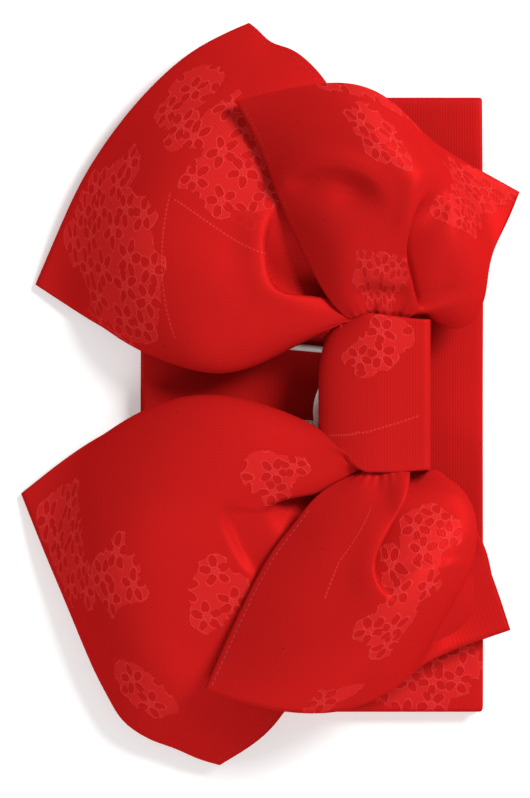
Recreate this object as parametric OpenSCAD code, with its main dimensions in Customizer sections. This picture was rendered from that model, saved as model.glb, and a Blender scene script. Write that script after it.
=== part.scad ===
/* [Waist band] */
// Width of the band and of the bow ribbons
band_w = 155; // [150:1:160]
// Length of the folded band
band_len = 279; // [270:1:285]
// Thickness of one layer of the band, with its interlining
band_t = 2.6; // [2.4:0.1:2.8]

/* [Knot] */
// Width of the knot across the sash
knot_w = 50; // [48:1:52]
// Length of the knot band along the bow
knot_len = 73; // [70:1:74]
// Height of the knot from its back to its face
knot_h = 28.2; // [28:0.1:30]

/* [Bow] */
// How far the rear wings' middles stand above their edges
rear_crown = 11; // [8:1:12]
// How far the front wings' middles stand above their edges
front_crown = 21; // [14:1:26]

/* [Hook] */
// Distance between the hook's legs
leg_gap = 34; // [30:1:36]
// Length of the hook's legs, from the turn to the tips
leg_len = 107; // [90:1:110]
// Diameter of the steel wire
wire_d = 2.2; // [2:0.1:2.4]
// Diameter of the vinyl sleeves
sleeve_d = 3; // [2.8:0.1:3.2]

/* [Hidden] */
$fn = 48;

satin = "#c81c1e";
satin_dark = "#a81618";
white = "#f2f0ec";

// The folded band: +X is up when the sash is worn, and layer 0 lies on the surface.
layer_gap = 0.4;
layer_pitch = band_t + layer_gap;
band_x0 = -58.5;
band_y0 = -145;
fold_top_y = band_y0 + band_len;
hidden_end_y = fold_top_y - 14;
free_end_y = 46.5;
band_top = 4 * band_t + 3 * layer_gap;
cover_t = 0.5;
core_play = 0.1;
hem_w = 1.5;

// The hook's levels
leg_z = band_top + 0.3 + sleeve_d / 2;
turn_r = 4.5;
arm_z = leg_z + 2 * turn_r;
stitch_d = 0.6;
hook_tilt = -5;
arm_len = 26;
arm_bend_r = 4;
tack_play = 0.05;

// The knot and what it holds
knot_x = 46.6;
knot_z0 = arm_z + wire_d / 2 + stitch_d + 2 * tack_play;
knot_t = 2.4;
knot_round = 13;
knot_crease = 4;
core_t = 0.9;
play = 0.1;
binding_t = 0.8;
binding_gap = 0.3;
knot_lining = knot_t + play + core_t + binding_gap + binding_t;
gather_gap = 0.3;
gather_h = (knot_h - 2 * knot_lining - gather_gap) / 2;
gather_z0 = knot_z0 + knot_lining;
gather_z1 = knot_z0 + knot_h - knot_lining;
gather_x0 = knot_x - knot_w / 2 + knot_round - gather_h / 2;
gather_x1 = knot_x + knot_w / 2 - knot_lining - play;
gather_w = gather_x1 - gather_x0;
rear_z = gather_z0 + gather_h / 2;
front_z = gather_z1 - gather_h / 2;
pleats = 6;
lip_y0 = -20;
lip_len = 23;
lip_reach = 8.6;

// The wings: each side runs from the knot to the fold at the wing's end.
wing_y = knot_len / 2 + 0.3;
edge_t = 1.5;
rear_rise = 1.4;
front_rise = 0.8;
steps_out = 18;
steps_across = 20;

rear_upper_gap_side = [
    [gather_x0, wing_y, rear_z], [15, 35, 30], [0, 18, 25],
    [-30, 11, 21], [-70, 25, 12], [-105, 50, 5]
];
rear_upper_far_side = [
    [gather_x1, wing_y, rear_z], [56, 66, 33], [38, 104, 28], [22, 140, 22], [-10, 167, 12]
];
rear_upper_fold = [
    [-105, 50, 5], [-85, 94, 11], [-62, 128, 13], [-38, 151, 13], [-10, 167, 12]
];

rear_lower_gap_side = [
    [gather_x0, -wing_y, rear_z], [15, -35, 30], [0, -12, 25],
    [-30, -3, 21], [-72, -16, 12], [-111.5, -45, 5]
];
rear_lower_far_side = [
    [gather_x1, -wing_y, rear_z], [54, -68, 33], [34, -108, 28], [9, -145, 20], [-25, -167, 12]
];
rear_lower_fold = [
    [-111.5, -45, 5], [-98, -80, 11], [-83, -116, 13], [-61, -150, 13], [-25, -167, 12]
];

front_upper_gap_side = [
    [gather_x0, wing_y, front_z], [20, 48, 44.5], [8, 78, 44.5], [-3, 106, 44], [-14.5, 131.5, 42]
];
front_upper_far_side = [
    [gather_x1, wing_y, front_z], [86, 39, 39], [97, 56, 31], [104, 76, 25], [111.5, 91, 20]
];
front_upper_fold = [
    [-14.5, 131.5, 42], [13.5, 138, 52], [46, 138.5, 56], [73, 119, 44], [111.5, 91, 20]
];

front_lower_gap_side = [
    [gather_x0, -wing_y, front_z], [20, -49, 44.5], [0, -70, 44.5], [-15, -100, 44], [-28.5, -132.5, 42]
];
front_lower_far_side = [
    [gather_x1, -wing_y, front_z], [84, -46, 39], [94, -62, 31], [101, -86, 25], [105, -108, 20]
];
front_lower_fold = [
    [-28.5, -132.5, 42], [3, -140, 50], [40, -139, 55], [74, -121, 42], [105, -108, 20]
];

// A smooth curve through a list of points, s from 0 to 1
function blend(a, b, c, d, t) =
    b + t * (c - a) / 2
    + t * t * (2 * a - 5 * b + 4 * c - d) / 2
    + t * t * t * (3 * b - a - 3 * c + d) / 2;

function beyond(points, i) =
    let (last = len(points) - 1)
    i < 0 ? 2 * points[0] - points[1]
    : i > last ? 2 * points[last] - points[last - 1]
    : points[i];

function along(points, s) =
    let (
        spans = len(points) - 1,
        k = min(spans - 1, floor(s * spans)),
        t = s * spans - k
    )
    blend(beyond(points, k - 1), points[k], points[k + 1], beyond(points, k + 2), t);

function mix(a, b, t) = a * (1 - t) + b * t;

// A sheet stretched between its two sides, the gather (u = 0) and the fold (u = 1)
function sheet_point(gap_side, far_side, fold, u, v) =
    let (
        sides = mix(along(gap_side, u), along(far_side, u), v),
        ends = mix(mix(gap_side[0], far_side[0], v), along(fold, v), u),
        corners = mix(
            mix(gap_side[0], far_side[0], v),
            mix(fold[0], fold[len(fold) - 1], v),
            u
        )
    )
    sides + ends - corners;

// How far the wing arches at u, v: rise is over 1 for an arch that starts slowly at the knot
function arch(u, v, rise) = sin(180 * v) * sin(180 * pow(u, rise));

function half_thickness(u) = mix(gather_h / 2, edge_t, min(1, 4 * u));

// Flat numbering of the grid's points: the face side first, then the back side
function grid_index(side, i, j) =
    (side * (steps_out + 1) + i) * (steps_across + 1) + j;

function quad(a, b, c, d) = [[a, b, c], [a, c, d]];

module wing(gap_side, far_side, fold, crown, rise, left_handed) {
    points = [
        for (side = [0, 1])
        for (i = [0 : steps_out])
        for (j = [0 : steps_across])
        let (
            u = i / steps_out,
            v = j / steps_across,
            lift = side == 0
                ? half_thickness(u) + crown * arch(u, v, rise)
                : -half_thickness(u)
        )
        sheet_point(gap_side, far_side, fold, u, v) + [0, 0, lift]
    ];
    face_side = [
        for (i = [0 : steps_out - 1])
        for (j = [0 : steps_across - 1])
        each quad(
            grid_index(0, i, j), grid_index(0, i + 1, j),
            grid_index(0, i + 1, j + 1), grid_index(0, i, j + 1)
        )
    ];
    back_side = [
        for (i = [0 : steps_out - 1])
        for (j = [0 : steps_across - 1])
        each quad(
            grid_index(1, i, j), grid_index(1, i, j + 1),
            grid_index(1, i + 1, j + 1), grid_index(1, i + 1, j)
        )
    ];
    side_edges = [
        for (i = [0 : steps_out - 1])
        each concat(
            quad(
                grid_index(0, i, 0), grid_index(1, i, 0),
                grid_index(1, i + 1, 0), grid_index(0, i + 1, 0)
            ),
            quad(
                grid_index(0, i + 1, steps_across), grid_index(1, i + 1, steps_across),
                grid_index(1, i, steps_across), grid_index(0, i, steps_across)
            )
        )
    ];
    end_edges = [
        for (j = [0 : steps_across - 1])
        each concat(
            quad(
                grid_index(0, 0, j + 1), grid_index(1, 0, j + 1),
                grid_index(1, 0, j), grid_index(0, 0, j)
            ),
            quad(
                grid_index(0, steps_out, j), grid_index(1, steps_out, j),
                grid_index(1, steps_out, j + 1), grid_index(0, steps_out, j + 1)
            )
        )
    ];
    faces = concat(face_side, back_side, side_edges, end_edges);
    polyhedron(
        points,
        left_handed ? [for (f = faces) [f[2], f[1], f[0]]] : faces
    );
}

// Side view of the folded strip, X along the band and Y upwards, grown by t about its middle
module layer_profile(y0, y1, layer, t) {
    translate([y0, layer * layer_pitch + (band_t - t) / 2])
        square([y1 - y0, t]);
}

module fold_profile(y, layer, outward, t) {
    middle_r = layer_pitch / 2;
    translate([y, layer * layer_pitch + band_t / 2 + middle_r])
        intersection() {
            difference() {
                circle(r = middle_r + t / 2);
                circle(r = middle_r - t / 2);
            }
            translate([outward > 0 ? 0 : -2 * layer_pitch, -2 * layer_pitch])
                square([2 * layer_pitch, 4 * layer_pitch]);
        }
}

module strip_profile(t, end_inset) {
    reach = layer_pitch / 2 + band_t / 2;
    low_y = band_y0 + reach;
    high_y = fold_top_y - reach;
    layer_profile(low_y, hidden_end_y - end_inset, 0, t);
    fold_profile(low_y, 0, -1, t);
    layer_profile(low_y, high_y, 1, t);
    fold_profile(high_y, 1, 1, t);
    layer_profile(low_y, high_y, 2, t);
    fold_profile(low_y, 2, -1, t);
    layer_profile(low_y, free_end_y - end_inset, 3, t);
}

// A strip from x0 on, w wide, that runs along Y and stands up along Z
module strip(t, x0, w, end_inset) {
    translate([x0, 0, 0])
        rotate([90, 0, 90])
        linear_extrude(w)
        strip_profile(t, end_inset);
}

module band_cover() {
    color(satin)
        difference() {
            strip(band_t, band_x0, band_w, 0);
            strip(band_t - 2 * cover_t, band_x0 + hem_w, band_w - 2 * hem_w, hem_w);
        }
}

module band_core() {
    color(white)
        strip(
            band_t - 2 * cover_t - 2 * core_play,
            band_x0 + hem_w + core_play,
            band_w - 2 * (hem_w + core_play),
            hem_w + core_play
        );
}

// A row of straight stitches along X that lie on a face
module stitch_row(count, pitch, length) {
    for (i = [0 : count - 1])
        translate([i * pitch, 0, 0])
        rotate([0, 90, 0])
        cylinder(d = stitch_d, h = length, $fn = 16);
}

module band_end_stitches() {
    pitch = 5;
    count = floor(band_w / pitch) - 1;
    start = band_x0 + (band_w - (count - 1) * pitch - 3) / 2;
    color(satin_dark)
        translate([start, free_end_y - 4, band_top + stitch_d / 2])
        stitch_row(count, pitch, 3);
}

module rear_upper_wing() {
    color(satin)
        wing(rear_upper_gap_side, rear_upper_far_side, rear_upper_fold, rear_crown, rear_rise, false);
}

module rear_lower_wing() {
    color(satin)
        wing(rear_lower_gap_side, rear_lower_far_side, rear_lower_fold, rear_crown, rear_rise, true);
}

module front_upper_wing() {
    color(satin)
        wing(front_upper_gap_side, front_upper_far_side, front_upper_fold, front_crown, front_rise, false);
}

module front_lower_wing() {
    color(satin)
        wing(front_lower_gap_side, front_lower_far_side, front_lower_fold, front_crown, front_rise, true);
}

// A ribbon's middle, pleated lengthways into a flat bundle
module gather(z) {
    pleat_r = gather_h / 2;
    pleat_pitch = (gather_w - 2 * pleat_r) / (pleats - 1);
    groove = 1.2;
    translate([gather_x0 + pleat_r, knot_len / 2, z])
        rotate([90, 0, 0])
        linear_extrude(knot_len) {
            for (i = [0 : pleats - 1])
                translate([i * pleat_pitch, 0])
                circle(r = pleat_r);
            translate([0, groove - pleat_r])
                square([gather_w - 2 * pleat_r, gather_h - 2 * groove]);
        }
}

module rear_gather() {
    color(satin_dark) gather(rear_z);
}

module front_gather() {
    color(satin_dark) gather(front_z);
}

// Outline w wide and h high from the origin, with round corners at the left and right
module round_outline(w, h, r_left, r_right) {
    for (y = [r_left, h - r_left])
        translate([r_left, y]) circle(r = r_left);
    for (y = [r_right, h - r_right])
        translate([w - r_right, y]) circle(r = r_right);
    translate([0, r_left]) square([w - r_right, h - 2 * r_left]);
    translate([r_left, 0]) square([w - r_left - r_right, h]);
    translate([w - r_right - 1, r_right]) square([r_right + 1, h - 2 * r_right]);
}

// The knot's outline, taken in by inset all round
module knot_outline(inset) {
    translate([inset, inset])
        round_outline(
            knot_w - 2 * inset,
            knot_h - 2 * inset,
            knot_round - inset,
            max(0.5, knot_crease - inset)
        );
}

// A ring between two insets of the knot's outline, length long and centred along Y
module knot_ring(outer_inset, inner_inset, length) {
    translate([knot_x - knot_w / 2, length / 2, knot_z0])
        rotate([90, 0, 0])
        linear_extrude(length)
        difference() {
            knot_outline(outer_inset);
            knot_outline(inner_inset);
        }
}

// The stiffener's free edge, which comes out of the knot's lower left side
module core_lip(grow) {
    lip_z = knot_z0 + knot_t + 0.4;
    translate([
        knot_x - knot_w / 2 - 2.2,
        lip_y0 - grow,
        lip_z - grow
    ])
        cube([lip_reach + 3, lip_len + 2 * grow, core_t + 2 * grow]);
}

module knot_band() {
    color(satin)
        difference() {
            knot_ring(0, knot_t, knot_len);
            core_lip(0.2);
        }
}

module knot_core() {
    outer = knot_t + play;
    color(white) {
        knot_ring(outer, outer + core_t, knot_len - 2);
        difference() {
            core_lip(0);
            translate([knot_x - knot_w / 2, lip_y0 + lip_len + 1, knot_z0])
                rotate([90, 0, 0])
                linear_extrude(lip_len + 2)
                knot_outline(outer + core_t);
        }
    }
}

module gather_binding() {
    windings = 5;
    pitch = 1.6;
    color(white)
        for (i = [0 : windings - 1])
            translate([0, (i - (windings - 1) / 2) * pitch, 0])
            knot_ring(knot_lining - binding_t, knot_lining, 1);
}

module knot_stitches() {
    count = 10;
    pitch = 7;
    color(satin_dark)
        translate([
            knot_x + 8,
            -((count - 1) * pitch + 3) / 2,
            knot_z0 - stitch_d / 2
        ])
        rotate([0, 0, 90])
        stitch_row(count, pitch, 3);
}

// The hook's own frame: its legs point along -X, and it is centred behind the knot
module hook_frame() {
    translate([knot_x, 0.4, 0])
        rotate([0, 0, hook_tilt])
        children();
}

turn_x = 15;
leg_tip_x = turn_x - leg_len;
arm_end_x = turn_x - arm_len;

module wire_run(x0, x1, z) {
    translate([x0, 0, z])
        rotate([0, 90, 0])
        cylinder(d = wire_d, h = x1 - x0);
}

// Half of the hook: one leg, its turn, its arm and half of the cross bar
module half_hook() {
    translate([0, leg_gap / 2, 0]) {
        wire_run(leg_tip_x, turn_x, leg_z);
        wire_run(arm_end_x, turn_x, arm_z);
        translate([turn_x, 0, leg_z + turn_r])
            rotate([90, 0, 0])
            rotate([0, 0, -90])
            rotate_extrude(angle = 180)
            translate([turn_r, 0])
            circle(d = wire_d);
        translate([arm_end_x, -arm_bend_r, arm_z])
            rotate([0, 0, 90])
            rotate_extrude(angle = 90)
            translate([arm_bend_r, 0])
            circle(d = wire_d);
        translate([arm_end_x - arm_bend_r, -leg_gap / 2, arm_z])
            rotate([-90, 0, 0])
            cylinder(d = wire_d, h = leg_gap / 2 - arm_bend_r);
    }
}

module hook_wire() {
    color("silver")
        hook_frame() {
            half_hook();
            mirror([0, 1, 0]) half_hook();
        }
}

module leg_sleeve(y) {
    sleeve_end_x = turn_x - 3;
    color(white)
        hook_frame()
        translate([0, y, leg_z])
        difference() {
            union() {
                translate([leg_tip_x - 0.5, 0, 0])
                    rotate([0, 90, 0])
                    cylinder(d = sleeve_d, h = sleeve_end_x - leg_tip_x + 0.5);
                translate([leg_tip_x - 0.5, 0, 0]) sphere(d = sleeve_d);
            }
            translate([leg_tip_x, 0, 0])
                rotate([0, 90, 0])
                cylinder(d = wire_d, h = leg_len);
        }
}

module upper_leg_sleeve() {
    leg_sleeve(leg_gap / 2);
}

module lower_leg_sleeve() {
    leg_sleeve(-leg_gap / 2);
}

// A thread loop round the wire
module tack_ring() {
    rotate([0, 90, 0])
        rotate_extrude()
        translate([wire_d / 2 + tack_play + stitch_d / 2, 0])
        circle(d = stitch_d, $fn = 16);
}

module hook_tacking() {
    color(satin_dark)
        hook_frame() {
            for (side = [-1, 1], x = [-8, -6.6, 2, 3.4, 11, 12.4])
                translate([x, side * leg_gap / 2, arm_z])
                tack_ring();
            for (y = [-6, -4.6, 4.6, 6])
                translate([arm_end_x - arm_bend_r, y, arm_z])
                rotate([0, 0, 90])
                tack_ring();
        }
}

band_cover();
band_core();
band_end_stitches();
rear_upper_wing();
rear_lower_wing();
front_upper_wing();
front_lower_wing();
rear_gather();
front_gather();
gather_binding();
knot_band();
knot_core();
knot_stitches();
hook_wire();
upper_leg_sleeve();
lower_leg_sleeve();
hook_tacking();
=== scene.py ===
"""A pre-tied kimono sash bow of red jacquard satin, lying on its folded waist band.

+Z is up from the surface, +Y runs along the sash and +X is the sash's upper edge when it is worn.
Shapes are laid out in millimetres, and every mesh is made in metres.
"""

import math

import bpy
import numpy as np
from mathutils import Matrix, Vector


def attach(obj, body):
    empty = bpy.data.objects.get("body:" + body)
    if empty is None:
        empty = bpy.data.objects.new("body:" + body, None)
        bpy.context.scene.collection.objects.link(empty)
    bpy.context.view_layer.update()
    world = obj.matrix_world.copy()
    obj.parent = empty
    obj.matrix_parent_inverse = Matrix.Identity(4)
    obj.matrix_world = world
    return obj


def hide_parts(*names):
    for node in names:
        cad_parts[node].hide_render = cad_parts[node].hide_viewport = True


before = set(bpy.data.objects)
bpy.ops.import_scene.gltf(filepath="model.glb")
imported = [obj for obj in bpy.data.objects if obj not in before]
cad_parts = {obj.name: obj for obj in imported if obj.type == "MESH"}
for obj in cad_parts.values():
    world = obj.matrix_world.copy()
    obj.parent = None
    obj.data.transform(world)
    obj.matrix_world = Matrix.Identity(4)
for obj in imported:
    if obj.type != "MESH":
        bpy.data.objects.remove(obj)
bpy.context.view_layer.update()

MM = 0.001


# ---------------- camera, light and floor

CAMERA_HEIGHT = 2.4
VIEW_HEIGHT = 0.359
VIEW_CENTRE = (-0.0023, -0.003)
SUBJECT_Z = 0.03
SENSOR_MM = 36.0
FLOOR_HALF = 3.0


def make_camera():
    """Looks straight down from far away, with +Y at the top of the picture."""
    camera = bpy.data.objects.new("camera", bpy.data.cameras.new("camera"))
    camera.location = (*VIEW_CENTRE, CAMERA_HEIGHT)
    camera.data.sensor_width = SENSOR_MM
    camera.data.lens = SENSOR_MM * (CAMERA_HEIGHT - SUBJECT_Z) / VIEW_HEIGHT
    camera.data.clip_end = 10.0
    bpy.context.scene.collection.objects.link(camera)
    bpy.context.scene.camera = camera


def make_lamp(name, place, size, watts):
    """A round soft lamp that points at the middle of the scene."""
    lamp = bpy.data.objects.new(name, bpy.data.lights.new(name, "AREA"))
    lamp.data.shape = "DISK"
    lamp.data.size = size
    lamp.data.energy = watts
    lamp.location = place
    lamp.rotation_euler = (-Vector(place)).to_track_quat("-Z", "Y").to_euler()
    bpy.context.scene.collection.objects.link(lamp)


def make_studio():
    """A pale room with a soft key lamp at the upper right and a weaker fill lamp below."""
    world = bpy.data.worlds.new("studio")
    world.use_nodes = True
    background = world.node_tree.nodes["Background"]
    background.inputs["Color"].default_value = (1.0, 0.99, 0.98, 1.0)
    background.inputs["Strength"].default_value = 0.4
    bpy.context.scene.world = world
    bpy.context.scene.view_settings.view_transform = "Standard"
    make_lamp("key", place=(1.15, 0.9, 1.45), size=0.8, watts=45.0)
    make_lamp("fill", place=(-0.4, -1.3, 1.4), size=1.0, watts=13.0)


def make_floor():
    """A sheet of pale paper."""
    mesh = bpy.data.meshes.new("floor")
    half = FLOOR_HALF
    corners = [(-half, -half, 0), (half, -half, 0), (half, half, 0), (-half, half, 0)]
    mesh.from_pydata(corners, [], [(0, 1, 2, 3)])
    floor = bpy.data.objects.new("floor", mesh)
    bpy.context.scene.collection.objects.link(floor)
    paper = bpy.data.materials.new("floor paper")
    paper.use_nodes = True
    shader = paper.node_tree.nodes["Principled BSDF"]
    shader.inputs["Base Color"].default_value = (0.8, 0.8, 0.8, 1.0)
    shader.inputs["Roughness"].default_value = 0.9
    shader.inputs["Emission Color"].default_value = (1.0, 1.0, 1.0, 1.0)
    shader.inputs["Emission Strength"].default_value = 0.3
    floor.data.materials.append(paper)


# ---------------- smooth surfaces


def spline_weights(count, samples):
    """For each sample from 0 to 1, how much each of count points weighs on a smooth curve through them."""
    bend = np.zeros((count, count))
    if count > 2:
        system = np.eye(count)
        right = np.zeros((count, count))
        for i in range(1, count - 1):
            system[i, i - 1 : i + 2] = (1, 4, 1)
            right[i, i - 1 : i + 2] = (6, -12, 6)
        bend = np.linalg.solve(system, right)
    weights = []
    for sample in samples:
        k = min(int(sample * (count - 1)), count - 2)
        t = sample * (count - 1) - k
        row = ((1 - t) ** 3 - (1 - t)) / 6 * bend[k] + (t**3 - t) / 6 * bend[k + 1]
        row[k] += 1 - t
        row[k + 1] += t
        weights.append(row)
    return np.array(weights)


def curve(points, count):
    """count points along a smooth curve through points."""
    points = np.array(points, dtype=float)
    return spline_weights(len(points), np.linspace(0, 1, count)) @ points


def surface(net, rows, columns):
    """A rows by columns grid on the smooth surface through a net of points."""
    net = np.array(net, dtype=float)
    down = spline_weights(net.shape[0], np.linspace(0, 1, rows))
    across = spline_weights(net.shape[1], np.linspace(0, 1, columns))
    return np.einsum("ri,ijk,cj->rck", down, net, across)


def smooth_step(value):
    value = np.clip(value, 0, 1)
    return value * value * (3 - 2 * value)


def rises(value, start, end):
    """0 where value is at start and 1 where it is at end, smooth between them. end may be under start."""
    return smooth_step((value - start) / (end - start))


def path_lengths(points):
    """How far along its path each point is."""
    gaps = np.linalg.norm(np.diff(points, axis=0), axis=1)
    return np.concatenate([[0.0], np.cumsum(gaps)])


LINE_STEPS = 24


def beside(line, x, y):
    """For each point: how far it is from a line in plan, on which side (+1 on the line's right),
    how far along the line it is, and which way the line lies."""
    line = curve(line, LINE_STEPS)
    best = np.full(x.shape, 1e9)
    side = np.ones(x.shape)
    along = np.zeros(x.shape)
    back_x = np.zeros(x.shape)
    back_y = np.zeros(x.shape)
    for i, (a, b) in enumerate(zip(line[:-1], line[1:])):
        step = b - a
        t = np.clip(((x - a[0]) * step[0] + (y - a[1]) * step[1]) / (step @ step), 0, 1)
        dx = x - a[0] - t * step[0]
        dy = y - a[1] - t * step[1]
        distance = np.hypot(dx, dy)
        nearer = distance < best
        best = np.where(nearer, distance, best)
        side = np.where(nearer, np.sign(step[1] * dx - step[0] * dy), side)
        along = np.where(nearer, (i + t) / (len(line) - 1), along)
        back_x = np.where(nearer, -dx, back_x)
        back_y = np.where(nearer, -dy, back_y)
    back = np.stack([back_x, back_y], axis=-1) / np.maximum(best, 1e-6)[..., None]
    return best, side, along, back


def ends_faded(along, start_fade, end_fade):
    """1 along the middle of a line, falling smoothly to 0 at an end that fades."""
    fade = np.ones(along.shape)
    if start_fade:
        fade = fade * smooth_step(along / start_fade)
    if end_fade:
        fade = fade * smooth_step((1 - along) / end_fade)
    return fade


def ridge(line, height, width, start_fade=0.25, end_fade=0.25):
    """A soft crest along a line."""

    def move(x, y):
        distance, _, along, _ = beside(line, x, y)
        rise = height * ends_faded(along, start_fade, end_fade) * np.exp(-((distance / width) ** 2))
        return np.stack([0 * rise, 0 * rise, rise], axis=-1)

    return move


def hollow(centre, depth, reach):
    """A round dent, reach = (x, y)."""

    def move(x, y):
        square = ((x - centre[0]) / reach[0]) ** 2 + ((y - centre[1]) / reach[1]) ** 2
        drop = depth * np.exp(-square)
        return np.stack([0 * drop, 0 * drop, -drop], axis=-1)

    return move


def crease(line, depth, onset, fade, start_fade=0.2, end_fade=0.2, tuck=0.0):
    """A drop on the right-hand side of a line, which comes up again over the distance fade.

    Its foot is drawn back until it lies tuck mm under the edge, so that the edge hangs over it.
    """

    def move(x, y):
        distance, side, along, back = beside(line, x, y)
        strength = ends_faded(along, start_fade, end_fade) * (side > 0)
        foot = smooth_step(distance / onset)
        drop = depth * strength * foot * np.exp(-((distance / fade) ** 2))
        beyond = np.maximum(distance - onset, 0)
        pull = (tuck + onset) * (tuck > 0) * strength * foot * np.exp(-((beyond / fade) ** 2))
        sideways = back * pull[..., None]
        return np.concatenate([sideways, -drop[..., None]], axis=-1)

    return move


# ---------------- meshes


def write_uvs(mesh, flat):
    """Each vertex's flat place on its cloth, in metres, as the mesh's UV layer."""
    layer = mesh.uv_layers.new(name="cloth")
    corners = np.array([flat[loop.vertex_index] for loop in mesh.loops], dtype=float)
    layer.data.foreach_set("uv", corners.ravel())


def mesh_object(name, vertices, faces, flat=None):
    mesh = bpy.data.meshes.new(name)
    mesh.from_pydata([tuple(v) for v in vertices], [], faces)
    if flat is not None:
        write_uvs(mesh, flat)
    mesh.polygons.foreach_set("use_smooth", [True] * len(mesh.polygons))
    mesh.update()
    piece = bpy.data.objects.new(name, mesh)
    bpy.context.scene.collection.objects.link(piece)
    return piece


def grid_faces(rows, columns, flip=False):
    faces = []
    for i in range(rows - 1):
        for j in range(columns - 1):
            a = i * columns + j
            quad = (a, a + columns, a + columns + 1, a + 1)
            faces.append(quad[::-1] if flip else quad)
    return faces


def flat_lengths(grid, width):
    """A sheet's own flat metres along its rows and across them, scaled to its cut width in mm."""
    along = np.linalg.norm(np.diff(grid, axis=0), axis=2).mean(axis=1)
    along = np.concatenate([[0.0], np.cumsum(along)])
    across = np.linalg.norm(np.diff(grid, axis=1), axis=2).mean(axis=0)
    across = np.concatenate([[0.0], np.cumsum(across)])
    across *= width / across[-1]
    u, v = np.meshgrid(along * MM, across * MM, indexing="ij")
    return np.stack([u, v], axis=2)


def thicken(piece, thickness):
    """Gives a sheet its thickness in mm, half of it on each side."""
    solid = piece.modifiers.new("thickness", "SOLIDIFY")
    solid.thickness = thickness * MM
    solid.offset = 0.0


def cloth_object(name, grid, thickness, width, flip=False, ribs_across=False):
    """A sheet of cloth over a grid in mm, cut width mm wide.

    Returns the piece, and what the placing of its motifs needs to know: its grid and its flat places.
    """
    rows, columns, _ = grid.shape
    flat = flat_lengths(grid, width)
    if ribs_across:
        flat = flat[..., ::-1]
    faces = grid_faces(rows, columns, flip)
    piece = mesh_object(name, grid.reshape(-1, 3) * MM, faces, flat.reshape(-1, 2))
    thicken(piece, thickness)
    return piece, {"grid": grid, "flat": flat}


SEEN_WITHIN = 4.0
SAME_LAYER = 2.0


def flat_place(cloth, place):
    """The flat position on a cloth of the point that is seen from above at place, in mm."""
    grid = cloth["grid"].reshape(-1, 3)
    far = np.hypot(grid[:, 0] - place[0], grid[:, 1] - place[1])
    top = grid[far < max(SEEN_WITHIN, far.min() + 1.0), 2].max()
    nearest = np.argmin(np.where(grid[:, 2] > top - SAME_LAYER, far, np.inf))
    return cloth["flat"].reshape(-1, 2)[nearest]


# ---------------- the wings

RIBBON_W = 155.0
RIBBON_T = 0.9
FOLD_R = 1.7
FACE_ROWS = 90
BACK_ROWS = 50
ACROSS = 120
PLEATS = 11
PLEAT_EDGE = 0.06
CALM_FOLD = 0.12


def fold_over(face, radius, steps=6):
    """The rolled end where the face layer turns under: rows of points round half a circle."""
    outward = face[-1] - face[-2]
    outward /= np.linalg.norm(outward, axis=1, keepdims=True)
    down = np.array([0.0, 0.0, -1.0])
    centre = face[-1] + down * radius
    rows = []
    for i in range(1, steps + 1):
        angle = math.pi * i / steps
        rows.append(centre + radius * (math.sin(angle) * outward - math.cos(angle) * down))
    return np.array(rows)


def pleats(from_knot, across, height, reach):
    """The small pleats that the knot squeezes into a strip: they die away over reach and at its edges."""
    ripple = np.cos(2 * math.pi * (PLEATS * across + 0.1 * np.sin(9 * across)))
    edges = rises(across, 0, PLEAT_EDGE) * rises(across, 1, 1 - PLEAT_EDGE)
    return height * ripple * edges * np.exp(-((from_knot / reach) ** 2))


def loop_grid(wing):
    """One wing as a single strip: the face layer, the rolled fold and the back layer."""
    face = surface(wing["face"], FACE_ROWS, ACROSS)
    u = np.linspace(0, 1, FACE_ROWS)[:, None]
    v = np.linspace(0, 1, ACROSS)[None, :]
    x, y = face[..., 0].copy(), face[..., 1].copy()
    calm_fold = rises(u, 1, 1 - CALM_FOLD)
    for move in wing["folds"]:
        face += move(x, y) * calm_fold[..., None]
    face[..., 2] += pleats(u, v, height=0.5, reach=0.07)
    rolled = fold_over(face, FOLD_R)
    net = [curve(row, ACROSS) for row in wing["back"]]
    net.append(rolled[-1])
    fold_to_knot = np.linspace(1, 0, BACK_ROWS)
    back = np.einsum("ri,ijk->rjk", spline_weights(len(net), fold_to_knot), np.array(net))
    back[..., 2] += pleats(fold_to_knot[:, None], v, height=2.4, reach=0.58)
    grid = np.concatenate([face, rolled, back[1:]])
    for centre, shift, reach in wing["pushes"]:
        distance = np.hypot(grid[..., 0] - centre[0], grid[..., 1] - centre[1])
        grid += np.exp(-((distance / reach) ** 2))[..., None] * shift
    return grid


# Each wing's "face" is a net of (x, y, z) points. Its rows run from the knot to the fold at the wing's
# end, and each row runs from the wing's -X side to its +X side. "back" is the same for the layer
# underneath, and its last row is where the rolled fold ends. "folds" shape the face only, and "pushes"
# shift every layer near a place: (centre, shift, reach).

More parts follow.
